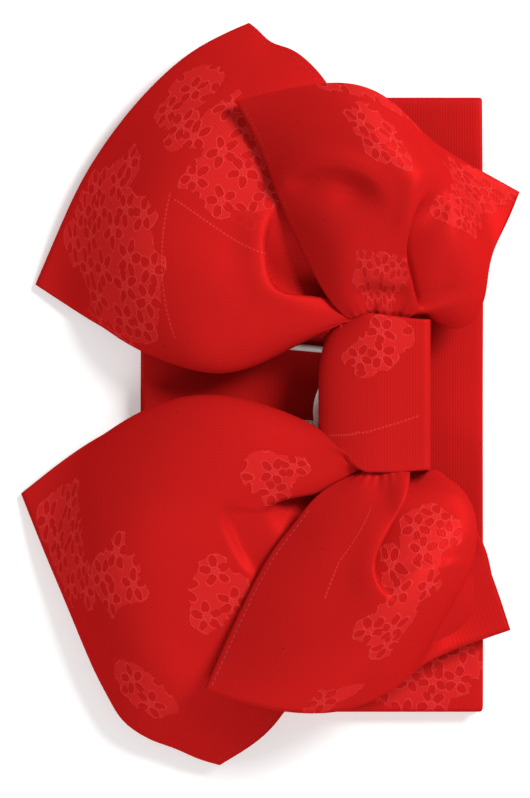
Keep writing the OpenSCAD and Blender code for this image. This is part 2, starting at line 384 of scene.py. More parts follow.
REAR_UPPER = {
    "face": [
        [(23, 24.5, 36.5), (31, 30.5, 45.5), (39.5, 32, 46), (45, 30, 40),
         (52, 29, 38), (59, 29, 38), (66, 29, 36)],
        [(14, 24, 29), (8, 20.5, 38), (13, 36, 45), (22, 52, 41),
         (32, 63, 39.5), (42, 72, 38), (54, 76, 34)],
        [(-14, 14, 26), (-20, 11, 36), (-19, 36, 47), (-9, 60, 45),
         (6, 78, 42), (22, 94, 38), (40, 103, 31)],
        [(-45, 16, 20), (-49, 18, 31), (-48, 46, 43), (-37, 76, 43),
         (-20, 100, 41), (4, 120, 36), (30, 131, 27)],
        [(-76, 30, 9), (-76, 36, 19), (-71, 63, 30), (-58, 92, 34),
         (-40, 118, 34), (-14, 140, 29), (14, 152, 21)],
        [(-105, 48, 4), (-95, 72, 9), (-84, 95.5, 12), (-70, 117, 14),
         (-54, 136, 15), (-33, 154, 14), (-8, 166.7, 11)],
    ],
    "back": [
        [(30, 29, 31), (42, 29, 32), (54, 29, 32), (66, 29, 31)],
        [(14, 30, 23), (20, 50, 26), (34, 64, 27), (54, 74, 30)],
        [(-16, 20, 18.5), (-6, 58, 20), (14, 80, 22), (40, 100, 27)],
        [(-48, 24, 16.5), (-36, 74, 17), (-10, 108, 18), (26, 132, 22)],
        [(-76, 36, 8), (-60, 92, 10), (-34, 126, 13), (12, 151, 17)],
    ],
    "folds": [
        crease(
            [(42, 37), (26, 41.5), (9, 43.5), (1, 48.5), (-2, 60), (-2, 74), (5, 92)],
            depth=8.5, onset=4, fade=22, start_fade=0.2, end_fade=0.45, tuck=1.5,
        ),
        ridge([(30, 39), (9, 42), (-2, 47.5), (-5, 60), (-5, 74), (3, 92)], height=1.8, width=7),
    ],
    "pushes": [((2, 161), (-1.6, -2.2, 0), 8)],
}

REAR_LOWER = {
    "face": [
        [(25, -16, 38), (31.5, -23.5, 47.5), (38.5, -31, 48), (45, -32, 41),
         (52, -29, 38), (59, -29, 38), (66, -29, 36)],
        [(16, -19, 29), (12, -12, 39.5), (17, -29, 47), (24, -46, 42),
         (33, -60, 40), (42, -70, 37), (52, -76, 33)],
        [(-14, -8, 26), (-18, -4, 37), (-18, -30, 47), (-12, -58, 44),
         (2, -80, 42), (18, -96, 38), (34, -104, 31)],
        [(-46, -8, 20), (-50, -8, 31), (-52, -38, 43), (-46, -70, 43),
         (-32, -98, 41), (-12, -119, 36), (13, -134, 27)],
        [(-80, -22, 9), (-81, -30, 19), (-80, -58, 30), (-71, -88, 34),
         (-56, -116, 34), (-33, -139, 29), (-2, -154, 21)],
        [(-111.6, -44.8, 4), (-103, -67, 9), (-94, -89, 12), (-84, -113, 14),
         (-72, -137, 15), (-52, -157, 14), (-21.5, -168, 11)],
    ],
    "back": [
        [(30, -29, 31), (42, -29, 32), (54, -29, 32), (66, -29, 31)],
        [(15, -24, 23), (22, -46, 26), (34, -62, 27), (52, -74, 30)],
        [(-16, -12, 18.5), (-10, -54, 20), (6, -82, 22), (34, -102, 27)],
        [(-50, -16, 16.5), (-46, -68, 17), (-26, -104, 18), (9, -135, 22)],
        [(-82, -30, 8), (-72, -86, 10), (-48, -126, 13), (-4, -153, 17)],
    ],
    "folds": [
        crease(
            [(-6, -51), (6, -47.5), (18, -45.5), (31, -42.5), (44, -38)],
            depth=13, onset=4, fade=17, start_fade=0.45, end_fade=0, tuck=2.5,
        ),
        ridge([(0, -45), (18, -41), (36, -37)], height=1.8, width=6, start_fade=0.3, end_fade=0),
        crease(
            [(-3, -87), (-12, -78), (-18.5, -66), (-22.5, -53), (-19, -42)],
            depth=3.6, onset=3.5, fade=15, start_fade=0.3, end_fade=0.4,
        ),
    ],
    "pushes": [((-44, -162), (0.8, 1.2, 0), 10), ((-64, -146), (-1.0, -0.8, 0), 10)],
}

FRONT_UPPER = {
    "face": [
        [(40, 29, 45), (44, 29, 47), (47.5, 29, 45), (51, 29, 47),
         (55, 29, 45), (58.5, 31, 47), (62, 35, 45), (66, 38, 43)],
        [(27, 41, 46), (34, 48, 53), (43, 51, 56), (52, 51, 57),
         (61, 49, 56), (73, 44, 55), (82, 36, 46), (84, 29, 36)],
        [(15, 62, 45.5), (28, 68, 58), (42, 71, 63), (56, 70, 64),
         (68, 65, 62), (83, 58, 57), (94, 48, 43), (95.5, 41, 34)],
        [(5, 84, 45), (20, 89, 58), (38, 93, 65), (54, 92, 68),
         (69, 86, 67), (84, 77, 58), (95, 66, 37), (99, 59, 28)],
        [(-4, 108, 44.5), (13, 111, 57), (32, 114, 65), (49, 112, 68),
         (66, 103, 64), (81, 93, 52), (90, 86, 30), (106, 75, 23)],
        [(-14.4, 128.6, 43), (2, 132.5, 49), (20, 135.5, 55), (37, 135.5, 58),
         (53, 129, 56), (67, 117, 44), (82, 106, 26), (112, 88.7, 20)],
    ],
    "back": [
        [(40, 29, 38), (48, 29, 38), (57, 31, 38), (65, 38, 36)],
        [(28, 43, 41), (44, 54, 42), (64, 52, 40), (81, 36, 30)],
        [(8, 80, 42.5), (34, 86, 47), (62, 82, 42), (96, 54, 25)],
        [(-3, 105, 42), (26, 109, 49), (60, 104, 42), (104, 74, 20)],
    ],
    "folds": [
        ridge(
            [(3, 84), (6, 96), (20, 102.5), (33, 101.5), (44, 95.5), (51, 86), (52, 74)],
            height=2.8, width=5.5, start_fade=0.15, end_fade=0.4,
        ),
        hollow((37, 89), depth=5.5, reach=(12, 8)),
        hollow((18, 91), depth=2.5, reach=(10, 8)),
        crease(
            [(66, 35), (62.5, 50), (60, 62), (61.5, 73), (65, 84), (70, 93)],
            depth=9, onset=4, fade=15, start_fade=0.1, end_fade=0.5, tuck=1.5,
        ),
        ridge([(60, 60), (61, 73), (64, 86), (70.5, 97), (79, 99), (87, 94)], height=1.8, width=6),
        hollow((75, 86), depth=8.5, reach=(8, 12)),
        hollow((50, 44), depth=2.5, reach=(9, 3.5)),
        ridge([(40, 51), (50, 51), (58, 48)], height=1.2, width=4),
    ],
    "pushes": [],
}

FRONT_LOWER = {
    "face": [
        [(45, -34, 45), (47.5, -31, 47), (50, -29, 45), (53, -29, 47),
         (56, -29, 45), (59, -31, 47), (62, -35, 45), (66, -38, 42)],
        [(24, -44, 46), (34, -49, 52), (44, -53, 56), (54, -53, 57),
         (65, -48, 57), (82, -41, 47), (80, -38, 39), (81, -37, 33)],
        [(11, -58, 45.5), (25, -67, 56), (40, -72, 61), (56, -73, 64),
         (72, -67, 61), (91.5, -55, 47.5), (86, -58, 33), (92.5, -61, 29)],
        [(-1, -74, 45), (14, -86, 56), (33, -93, 62), (54, -94, 66),
         (73, -86, 61), (91.5, -71, 46.5), (83.5, -77, 30), (97, -74, 25)],
        [(-15, -101, 44.5), (3, -110, 55), (24, -116, 61), (46, -116, 63),
         (66, -106, 57), (84, -90, 43.5), (76.5, -98, 26), (102.5, -89, 22)],
        [(-28.4, -131.5, 43), (-11, -137, 48), (10, -141, 52), (31, -140.5, 55),
         (48, -135, 51), (63, -126, 40), (76, -117, 26), (108, -105.5, 20)],
    ],
    "back": [
        [(45, -34, 38), (52, -29, 38), (58, -31, 38), (65, -38, 36)],
        [(26, -46, 41), (44, -56, 41), (64, -54, 40), (78, -44, 29)],
        [(4, -74, 42.5), (30, -88, 47), (60, -84, 42), (95, -66, 22)],
        [(-15, -101, 42), (18, -112, 48), (54, -108, 41), (101, -87, 18)],
    ],
    "folds": [
        crease(
            [(58, -98), (49, -88), (46, -77), (49, -67), (54.5, -57), (60, -47), (62, -35)],
            depth=10, onset=4, fade=20, start_fade=0.5, end_fade=0, tuck=2.5,
        ),
        ridge(
            [(56, -99), (46, -88), (43.5, -76), (47, -65), (53, -55), (58, -46), (60, -36)],
            height=1.6, width=7, start_fade=0.3, end_fade=0,
        ),
        hollow((80, -53), depth=1.2, reach=(12, 6)),
    ],
    "pushes": [],
}


def make_wing(name, wing, flip):
    piece, cloth = cloth_object(name + "_ribbon", loop_grid(wing), RIBBON_T, RIBBON_W, flip)
    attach(piece, "bow")
    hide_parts(name)
    return piece, cloth


# ---------------- the knot

KNOT_X0, KNOT_X1 = 21.6, 71.6
KNOT_Y0, KNOT_Y1 = -36.6, 36.4
KNOT_Z0, KNOT_Z1 = 24.2, 52.4
KNOT_T = 1.8
KNOT_FLAT = (KNOT_Y1 - KNOT_Y0, 146.0)
# Its corners: the lower left one, the two right ones, and the upper left one's width and height.
KNOT_ROUND = 13.0
KNOT_CREASE = 2.6
KNOT_SLOPE = 31.0
KNOT_FALL = 13.5
KNOT_STEPS = 120
# How far its ends are drawn in on the left flank, and how far they slant on the right.
TOP_DRAWN, BOTTOM_DRAWN = 4.0, 14.5
TOP_SLANT, BOTTOM_SLANT = 3.0, 1.0
# The face falls a little towards its two ends, and its top left corner is pulled towards +X.
KNOT_DIP = 0.6
KNOT_PULL = 0.00026
LINING_T = 0.9
LINING_GAP = 1.4


def rounded_path(x0, x1, z0, z1, r_left, r_right, long_left, high_left, steps=14):
    """Points round a box with round corners, from the middle of its underside towards -X.

    The upper left corner is drawn out: it is long_left wide and high_left high.
    """
    points = [((x0 + x1) / 2, z0)]
    corners = [
        (x0 + r_left, z0 + r_left, r_left, r_left, 270, 180),
        (x0 + long_left, z1 - high_left, long_left, high_left, 180, 90),
        (x1 - r_right, z1 - r_right, r_right, r_right, 90, 0),
        (x1 - r_right, z0 + r_right, r_right, r_right, 0, -90),
    ]
    for cx, cz, wide, high, start, end in corners:
        for angle in np.radians(np.linspace(start, end, steps)):
            points.append((cx + wide * math.cos(angle), cz + high * math.sin(angle)))
    points.append(points[0])
    return np.array(points)


def evenly(points, count):
    """The same path with count points at even distances."""
    along = path_lengths(points)
    wanted = np.linspace(0, along[-1], count)
    return np.stack([np.interp(wanted, along, points[:, k]) for k in range(points.shape[1])], axis=1)


def wrap_grid(inset, columns):
    """The knot's band as a tube round Y: its ends draw in on the left, where the wings press over it."""
    path = evenly(
        rounded_path(
            KNOT_X0 + inset,
            KNOT_X1 - inset,
            KNOT_Z0 + inset,
            KNOT_Z1 - inset,
            KNOT_ROUND - inset,
            max(KNOT_CREASE - inset, 0.8),
            KNOT_SLOPE - inset,
            KNOT_FALL - inset,
        ),
        KNOT_STEPS,
    )
    grid = np.zeros((len(path), columns, 3))
    for i, (x, z) in enumerate(path):
        flank = rises(x, 44, 22) * rises(z, KNOT_Z0 - 12, KNOT_Z0 + 8)
        top = KNOT_Y1 - TOP_DRAWN * flank - TOP_SLANT * rises(x, 40, 72)
        bottom = KNOT_Y0 + BOTTOM_DRAWN * flank + BOTTOM_SLANT * rises(x, 54, 72)
        across = np.linspace(bottom + inset, top - inset, columns)
        dip = KNOT_DIP * np.cos(math.pi * (across - bottom) / (top - bottom)) ** 4
        grid[i, :, 0] = x + KNOT_PULL * np.maximum(across, 0) ** 3 * rises(x, 48, 22)
        grid[i, :, 1] = across
        grid[i, :, 2] = z - dip * rises(z, 40, 50)
    return grid


def make_knot():
    grid = wrap_grid(KNOT_T / 2, 48)
    piece, cloth = cloth_object("knot_wrap", grid, KNOT_T, KNOT_FLAT[0], ribs_across=True)
    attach(piece, "bow")
    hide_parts("knot_band")
    return piece, cloth


def lining_tongue(rows, columns):
    """The part of the lining that looks out past the knot's left side, as a shallow crescent."""
    inner_x, y0, y1, z = 26.0, -21.5, 3.5, 27.4
    set_in, bulge, rise = 1.2, 3.4, 1.2
    grid = np.zeros((rows, columns, 3))
    for i, reach in enumerate(np.linspace(0, 1, rows)):
        for j, t in enumerate(np.linspace(0, 1, columns)):
            edge = KNOT_X0 + set_in - bulge * math.sin(math.pi * t) ** 0.8
            grid[i, j] = (inner_x + (edge - inner_x) * reach, y0 + (y1 - y0) * t, z + rise * reach)
    return grid


def make_knot_lining():
    """White lining inside the knot. Its edge shows as a thin crescent past the knot's left side."""
    sleeve = wrap_grid(KNOT_T + LINING_GAP, 24)
    tongue = lining_tongue(8, 25)
    vertices = np.concatenate([sleeve.reshape(-1, 3), tongue.reshape(-1, 3)])
    first = sleeve.shape[0] * sleeve.shape[1]
    faces = grid_faces(*sleeve.shape[:2])
    faces += [tuple(first + k for k in face) for face in grid_faces(*tongue.shape[:2])]
    piece = mesh_object("knot_lining", vertices * MM, faces)
    thicken(piece, LINING_T)
    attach(piece, "bow")
    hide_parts("knot_core")
    return piece


# ---------------- the gathered middles

GATHER_PLEATS = 16
GATHER_X0, GATHER_X1 = 30.6, 66.4
GATHER_HALF = 31.0
GATHER_ROWS = 31
GATHER_T = 0.7
STEPS_PER_PLEAT = 8
SQUEEZE = 0.25
SQUEEZE_REACH = 5.0


def make_gather(name, z, height):
    """A ribbon's middle, folded lengthways into pleats and squeezed by its binding."""
    columns = GATHER_PLEATS * STEPS_PER_PLEAT + 1
    grid = np.zeros((GATHER_ROWS, columns, 3))
    for i, y in enumerate(np.linspace(-GATHER_HALF, GATHER_HALF, GATHER_ROWS)):
        squeeze = 1 - SQUEEZE * math.exp(-((y / SQUEEZE_REACH) ** 2))
        for j, t in enumerate(np.linspace(0, 1, columns)):
            sway = math.sin(math.pi * GATHER_PLEATS * t)
            fold = math.copysign(abs(sway) ** 0.7, sway)
            x = GATHER_X0 + (GATHER_X1 - GATHER_X0) * t
            grid[i, j] = (x, y, z + height / 2 * squeeze * fold)
    piece, cloth = cloth_object(name + "_pleats", grid, GATHER_T, RIBBON_W)
    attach(piece, "bow")
    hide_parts(name)
    return piece, cloth


# ---------------- the folded waist band

BAND_X0, BAND_X1 = -58.5, 96.5
BAND_Y0, BAND_Y1 = -145.0, 134.0
LAYER_T = 2.4
LAYER_PITCH = 3.0
FIRST_LAYER_Z = 1.3
FREE_END_Y = 46.5
HIDDEN_END_Y = 120.0
PRESSED_Y = 139.0
PRESSED_REACH = 40.0
SIDE_SWAY = 0.35
TOP_LAYER_SHIFT = 0.6
SIDE_RIPPLE = 0.12
SIDE_RIPPLE_FROM = 60


def band_route():
    """The strip's middle line in (y, z), from its hidden end to its free end."""
    z = [FIRST_LAYER_Z + LAYER_PITCH * layer for layer in range(4)]
    r = LAYER_PITCH / 2
    reach = r + LAYER_T / 2
    low, high = BAND_Y0 + reach, BAND_Y1 - reach
    points = [(HIDDEN_END_Y, z[0]), (low, z[0])]
    for centre_y, centre_z, way in (
        (low, (z[0] + z[1]) / 2, -1),
        (high, (z[1] + z[2]) / 2, 1),
        (low, (z[2] + z[3]) / 2, -1),
    ):
        for angle in np.radians(np.linspace(-90, 90, 9)):
            points.append((centre_y + way * r * math.cos(angle), centre_z + r * math.sin(angle)))
    points.append((FREE_END_Y, z[3]))
    return np.array(points)


def fine_route(route, longest=4.0):
    """The same route with its long straight runs cut into short steps."""
    points = [route[0]]
    for a, b in zip(route[:-1], route[1:]):
        count = max(1, math.ceil(np.linalg.norm(b - a) / longest))
        points.extend(a + (b - a) * k / count for k in range(1, count + 1))
    return np.array(points)


def strip_section(width, thickness, columns=60, end_steps=5):
    """Points round a flat strip's cut end with rounded edges, as (across, up)."""
    r = thickness / 2
    face = [(x, r) for x in np.linspace(-width / 2 + r, width / 2 - r, columns)]
    turns = np.radians(np.linspace(90, -90, end_steps + 2))[1:-1]
    right = [(width / 2 - r + r * math.cos(a), r * math.sin(a)) for a in turns]
    back = [(x, -r) for x, _ in face[::-1]]
    left = [(-x, z) for x, z in right[::-1]]
    return np.array(face + right + back + left)


def band_grid(route, along):
    """The strip's cut end carried along its route. Its sides wander a little, as sewn edges do."""
    section = strip_section(BAND_X1 - BAND_X0, LAYER_T)
    middle_x = (BAND_X0 + BAND_X1) / 2
    middle_y = (BAND_Y0 + BAND_Y1) / 2
    tangent = np.gradient(route, axis=0)
    tangent /= np.linalg.norm(tangent, axis=1, keepdims=True)
    normal = np.stack([-tangent[:, 1], tangent[:, 0]], axis=1)
    grid = np.zeros((len(route), len(section), 3))
    for i, (y, z) in enumerate(route):
        top_layer = smooth_step((z - 2.5 * LAYER_PITCH) / LAYER_PITCH)
        shift = SIDE_SWAY * math.sin(along[i] / 83 + 0.4) - 0.1 + TOP_LAYER_SHIFT * top_layer
        narrow = 1 - 0.002 * (1 + math.sin(along[i] / 37))
        from_end = abs(y - middle_y - math.copysign(PRESSED_Y, y))
        pressed = 1 - 0.05 * smooth_step(1 - from_end / PRESSED_REACH)
        for j, (across, up) in enumerate(section):
            ripple = SIDE_RIPPLE * math.sin(along[i] / 9 + across / 17)
            ripple *= abs(across) > SIDE_RIPPLE_FROM
            grid[i, j] = (
                middle_x + shift + across * narrow,
                y + normal[i, 0] * up,
                z + normal[i, 1] * (up * pressed + ripple),
            )
    grid[..., 2] = np.clip(grid[..., 2], 0.05, None)
    return grid, section


def tube_faces(rows, columns):
    """Faces of a closed tube of rows rings, with both ends filled."""
    faces = []
    for i in range(rows - 1):
        for j in range(columns):
            a, b = i * columns + j, i * columns + (j + 1) % columns
            faces.append((a, b, b + columns, a + columns))
    faces.append(tuple(range(columns))[::-1])
    faces.append(tuple((rows - 1) * columns + j for j in range(columns)))
    return faces


def make_band():
    """One long strip laid to and fro in four layers, with slightly uneven edges."""
    route = fine_route(band_route())
    along = path_lengths(route)
    grid, section = band_grid(route, along)
    u, v = np.meshgrid(along * MM, path_lengths(section) * MM, indexing="ij")
    flat = np.stack([u, v], axis=2)
    faces = tube_faces(*grid.shape[:2])
    piece = mesh_object("folded_band", grid.reshape(-1, 3) * MM, faces, flat.reshape(-1, 2))
    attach(piece, "waist_band")
    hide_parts("band_cover")
    return piece, {"grid": grid, "flat": flat}


# ---------------- stitches

STITCH_PITCH = 2.6
STITCH_LENGTH = 1.5
STITCH_T = 0.28
STITCH_RINGS = [(-0.5, 0.35), (-0.4, 0.8), (-0.15, 1.0), (0.15, 1.0), (0.4, 0.8), (0.5, 0.35)]
STITCH_SIDES = 6
ROW_START, ROW_END = 0.28, 0.985


def make_stitches(name, places, ways):
    """Short threads that lie on a cloth: one small rounded bar at each place, along each way."""
    vertices = []
    faces = []
    bar_faces = tube_faces(len(STITCH_RINGS), STITCH_SIDES)
    for place, way in zip(places, ways):
        way = way / np.linalg.norm(way)
        side = np.cross(way, (0.0, 0.0, 1.0))
        side /= np.linalg.norm(side)
        up = np.cross(side, way)
        first = len(vertices)
        for t, girth in STITCH_RINGS:
            middle = place + way * t * STITCH_LENGTH
            for k in range(STITCH_SIDES):
                angle = 2 * math.pi * k / STITCH_SIDES
                ring = math.cos(angle) * side + math.sin(angle) * up
                vertices.append((middle + ring * girth * STITCH_T / 2) * MM)
        faces += [tuple(first + k for k in face) for face in bar_faces]
    piece = mesh_object(name, vertices, faces)
    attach(piece, "bow")
    return piece


def edge_stitches(name, cloth, column):
    """A row of stitches along one column of a wing's face layer."""
    line = cloth["grid"][:FACE_ROWS, column]
    along = path_lengths(line)
    wanted = np.arange(ROW_START * along[-1], ROW_END * along[-1], STITCH_PITCH)
    places = np.stack([np.interp(wanted, along, line[:, k]) for k in range(3)], axis=1)
    ahead = np.stack([np.interp(wanted + 1, along, line[:, k]) for k in range(3)], axis=1)
    lift = np.array([0.0, 0.0, RIBBON_T / 2 + STITCH_T * 0.1])
    return make_stitches(name, places + lift, ahead - places)


# ---------------- materials


class Graph:
    """Short ways to add shader nodes to one material."""

    def __init__(self, name):
        self.material = bpy.data.materials.new(name)
        self.material.use_nodes = True
        self.tree = self.material.node_tree
        self.shader = self.tree.nodes["Principled BSDF"]

    def link(self, value, socket):
        if isinstance(value, bpy.types.NodeSocket):
            self.tree.links.new(value, socket)
        else:
            socket.default_value = value

    def math(self, operation, *values):
        node = self.tree.nodes.new("ShaderNodeMath")
        node.operation = operation
        for socket, value in zip(node.inputs, values):
            self.link(value, socket)
        return node.outputs[0]

    def vector(self, operation, *values):
        node = self.tree.nodes.new("ShaderNodeVectorMath")
        node.operation = operation
        for socket, value in zip(node.inputs, values):
            self.link(value, socket)
        return node.outputs["Value"] if operation in ("LENGTH", "DISTANCE") else node.outputs[0]

    def scaled(self, vector, factor):
        node = self.tree.nodes.new("ShaderNodeVectorMath")
        node.operation = "SCALE"
        self.link(vector, node.inputs[0])
        node.inputs["Scale"].default_value = factor
        return node.outputs[0]

    def step(self, value, low, high):
        """0 below low, 1 above high, smooth between them; falls instead when low is over high."""
        node = self.tree.nodes.new("ShaderNodeMapRange")
        node.interpolation_type = "SMOOTHSTEP"
        rising = low < high
        self.link(value, node.inputs["Value"])
        node.inputs["From Min"].default_value = min(low, high)
        node.inputs["From Max"].default_value = max(low, high)
        node.inputs["To Min"].default_value = 0.0 if rising else 1.0
        node.inputs["To Max"].default_value = 1.0 if rising else 0.0
        return node.outputs["Result"]

    def mix(self, factor, a, b):
        node = self.tree.nodes.new("ShaderNodeMix")
        node.data_type = "RGBA"
        self.link(factor, node.inputs["Factor"])
        self.link(a, node.inputs["A"])
        self.link(b, node.inputs["B"])
        return node.outputs["Result"]

    def split(self, vector):
        node = self.tree.nodes.new("ShaderNodeSeparateXYZ")
        self.link(vector, node.inputs[0])
        return node.outputs

    def noise(self, vector, scale, detail=2.0):
        node = self.tree.nodes.new("ShaderNodeTexNoise")
        self.link(vector, node.inputs["Vector"])
        node.inputs["Scale"].default_value = scale
        node.inputs["Detail"].default_value = detail
        return node.outputs["Fac"]

    def wavy(self, vector, scale, amount):
        """The same coordinates, wandering a little from place to place."""
        node = self.tree.nodes.new("ShaderNodeTexNoise")
        self.link(vector, node.inputs["Vector"])
        node.inputs["Scale"].default_value = scale
        centred = self.vector("SUBTRACT", node.outputs["Color"], (0.5, 0.5, 0.5))
        return self.vector("ADD", vector, self.scaled(centred, amount))

    def voronoi(self, vector, scale, randomness):
        node = self.tree.nodes.new("ShaderNodeTexVoronoi")
        node.voronoi_dimensions = "2D"
        self.link(vector, node.inputs["Vector"])
        node.inputs["Scale"].default_value = scale
        node.inputs["Randomness"].default_value = randomness
        return node.outputs

    def local(self, vector, place, turn, size):
        """Coordinates in which an ellipse at place, turned and sized, has radius 1."""
        node = self.tree.nodes.new("ShaderNodeMapping")
        node.vector_type = "TEXTURE"
        self.link(vector, node.inputs["Vector"])
        node.inputs["Location"].default_value = (*place, 0.0)
        node.inputs["Rotation"].default_value = (0.0, 0.0, turn)
        node.inputs["Scale"].default_value = (*size, 1.0)
        return node.outputs[0]

    def bump(self, height, distance, strength=1.0, normal=None):
        node = self.tree.nodes.new("ShaderNodeBump")
        node.inputs["Strength"].default_value = strength
        node.inputs["Distance"].default_value = distance
        self.link(height, node.inputs["Height"])
        if normal is not None:
            self.link(normal, node.inputs["Normal"])
        return node.outputs[0]

    def place(self):
        """The piece's own coordinates, in metres."""
        return self.tree.nodes.new("ShaderNodeTexCoord").outputs["Object"]

    def product(self, *values):
        """All the values multiplied together."""
        result = values[0]
        for value in values[1:]:
            result = self.math("MULTIPLY", result, value)
        return result

    def squared_sum(self, a, b):
        return self.math("ADD", self.product(a, a), self.product(b, b))

    def finish(self, colour, roughness, normal):
        """Gives the shader its colour, roughness and normal."""
        self.link(colour, self.shader.inputs["Base Color"])
        self.link(roughness, self.shader.inputs["Roughness"])
        self.link(normal, self.shader.inputs["Normal"])
        return self.material


BLOSSOM_PITCH = 0.0128
RIB_PITCH = 0.00125
CHAIN_PITCH = 0.0018
CHAIN_HALF_WIDTH = 0.0005
TWIST_PITCH = 0.0005
PETAL_PLACE, PETAL_LONG, PETAL_WIDE = 0.33, 0.2, 0.135
# The rib shades say how much painted shade darkens the grooves between the ribs, on the wings and on the
# band.
RIB_SHADE = 0.13
BAND_RIB_SHADE = 0.06

SATIN_DEEP = (0.43, 0.0090, 0.0085, 1.0)
SATIN_BRIGHT = (0.50, 0.0110, 0.0105, 1.0)
# The next colour is painted shade for the grooves between the ribs.
SATIN_GROOVE_SHADE = (0.28, 0.002, 0.002, 1.0)
SATIN_RAISED = (0.60, 0.022, 0.021, 1.0)
SATIN_FLOAT = (0.72, 0.055, 0.053, 1.0)
LINT = (0.08, 0.01, 0.012, 1.0)


def between(cloth, one, other):
    """The middle, half length and turn, on the flat cloth, of a stretch that is seen between two places."""
    a, b = flat_place(cloth, one), flat_place(cloth, other)
    turn = math.atan2(b[1] - a[1], b[0] - a[0])
    return (a + b) / 2, np.linalg.norm(b - a) / 2, turn


def motif_distance(graph, cloth, place, patches):
    """How far a flat place is from the nearest patch's middle: 1 on the patch's edge."""
    nearest = 9.0
    for one, other, half_width in patches:
        middle, half_length, turn = between(cloth, one, other)
        size = (half_length + 0.3 * half_width * MM, half_width * MM)
        local = graph.local(place, middle, turn, size)
        nearest = graph.math("MINIMUM", nearest, graph.vector("LENGTH", local))
    return nearest


def blossoms(graph, cloth, flat, patches):
    """Blossoms of five petals all over the patches, whole ones also past a patch's edge.

    Returns the raised ground round the petals, and the fine outlines.
    """
    flat = graph.wavy(flat, 240.0, 0.0022)
    cells = graph.scaled(flat, 1 / BLOSSOM_PITCH)
    voronoi = graph.voronoi(cells, 1.0, 0.4)
    centre = graph.scaled(voronoi["Position"], BLOSSOM_PITCH)
    chosen = graph.step(motif_distance(graph, cloth, centre, patches), 1.10, 1.06)
    inside = graph.step(motif_distance(graph, cloth, flat, patches), 1.02, 0.96)
    x, y, _ = graph.split(graph.vector("SUBTRACT", cells, voronoi["Position"]))
    radius = graph.math("SQRT", graph.squared_sum(x, y))
    spin = graph.product(graph.split(voronoi["Color"])[0], 2 * math.pi)
    angle = graph.math("ADD", graph.math("ARCTAN2", y, x), spin)
    lobes = graph.product(graph.math("COSINE", graph.product(angle, 5.0)), -0.035)
    edge = graph.math("ADD", radius, lobes)
    disc = graph.product(chosen, graph.step(edge, 0.60, 0.57))
    ring = graph.product(graph.step(edge, 0.53, 0.57), graph.step(edge, 0.63, 0.59))
    rim = graph.product(chosen, ring, graph.math("SUBTRACT", 1.0, inside))
    patch = graph.math("MAXIMUM", disc, inside)

    fifth = 2 * math.pi / 5
    from_axis = graph.math("SUBTRACT", graph.math("FLOORED_MODULO", angle, fifth), fifth / 2)
    outward = graph.product(radius, graph.math("COSINE", from_axis))
    sideways = graph.product(radius, graph.math("SINE", from_axis))
    a = graph.math("DIVIDE", graph.math("SUBTRACT", outward, PETAL_PLACE), PETAL_LONG)
    b = graph.math("DIVIDE", sideways, PETAL_WIDE)
    oval = graph.math("SQRT", graph.squared_sum(a, b))
    petals = graph.step(oval, 1.05, 0.85)
    petal_rims = graph.product(graph.step(oval, 0.9, 1.1), graph.step(oval, 1.35, 1.15))
    thin = graph.step(graph.math("ABSOLUTE", sideways), 0.022, 0.008)
    veins = graph.product(thin, graph.step(radius, 0.2, 0.16))
    raised = graph.product(patch, graph.math("SUBTRACT", 1.0, petals))
    lines = graph.math("MAXIMUM", petal_rims, veins)
    threads = graph.math("MAXIMUM", rim, graph.product(patch, lines))
    return raised, threads


def chain_line(graph, cloth, flat, one, other):
    """A line of short woven stitches between two places that are seen from above."""
    middle, half_length, turn = between(cloth, one, other)
    size = (half_length, CHAIN_HALF_WIDTH)
    p, q, _ = graph.split(graph.local(flat, middle, turn, size))
    turns = float(2 * math.pi * half_length / CHAIN_PITCH)
    dash = graph.step(graph.math("SINE", graph.product(p, turns)), -0.9, -0.3)
    inside = graph.step(graph.math("ABSOLUTE", p), 1.02, 0.98)
    thin = graph.step(graph.math("ABSOLUTE", q), 1.2, 0.6)
    return graph.product(dash, inside, thin)


def lint_specks(graph, flat):
    """Rare dark specks of lint."""
    specks = graph.voronoi(flat, 38.0, 1.0)
    speck = graph.product(graph.step(specks["Distance"], 0.025, 0.012), 0.5)
    return graph.product(speck, graph.step(graph.split(specks["Color"])[1], 0.72, 0.76))


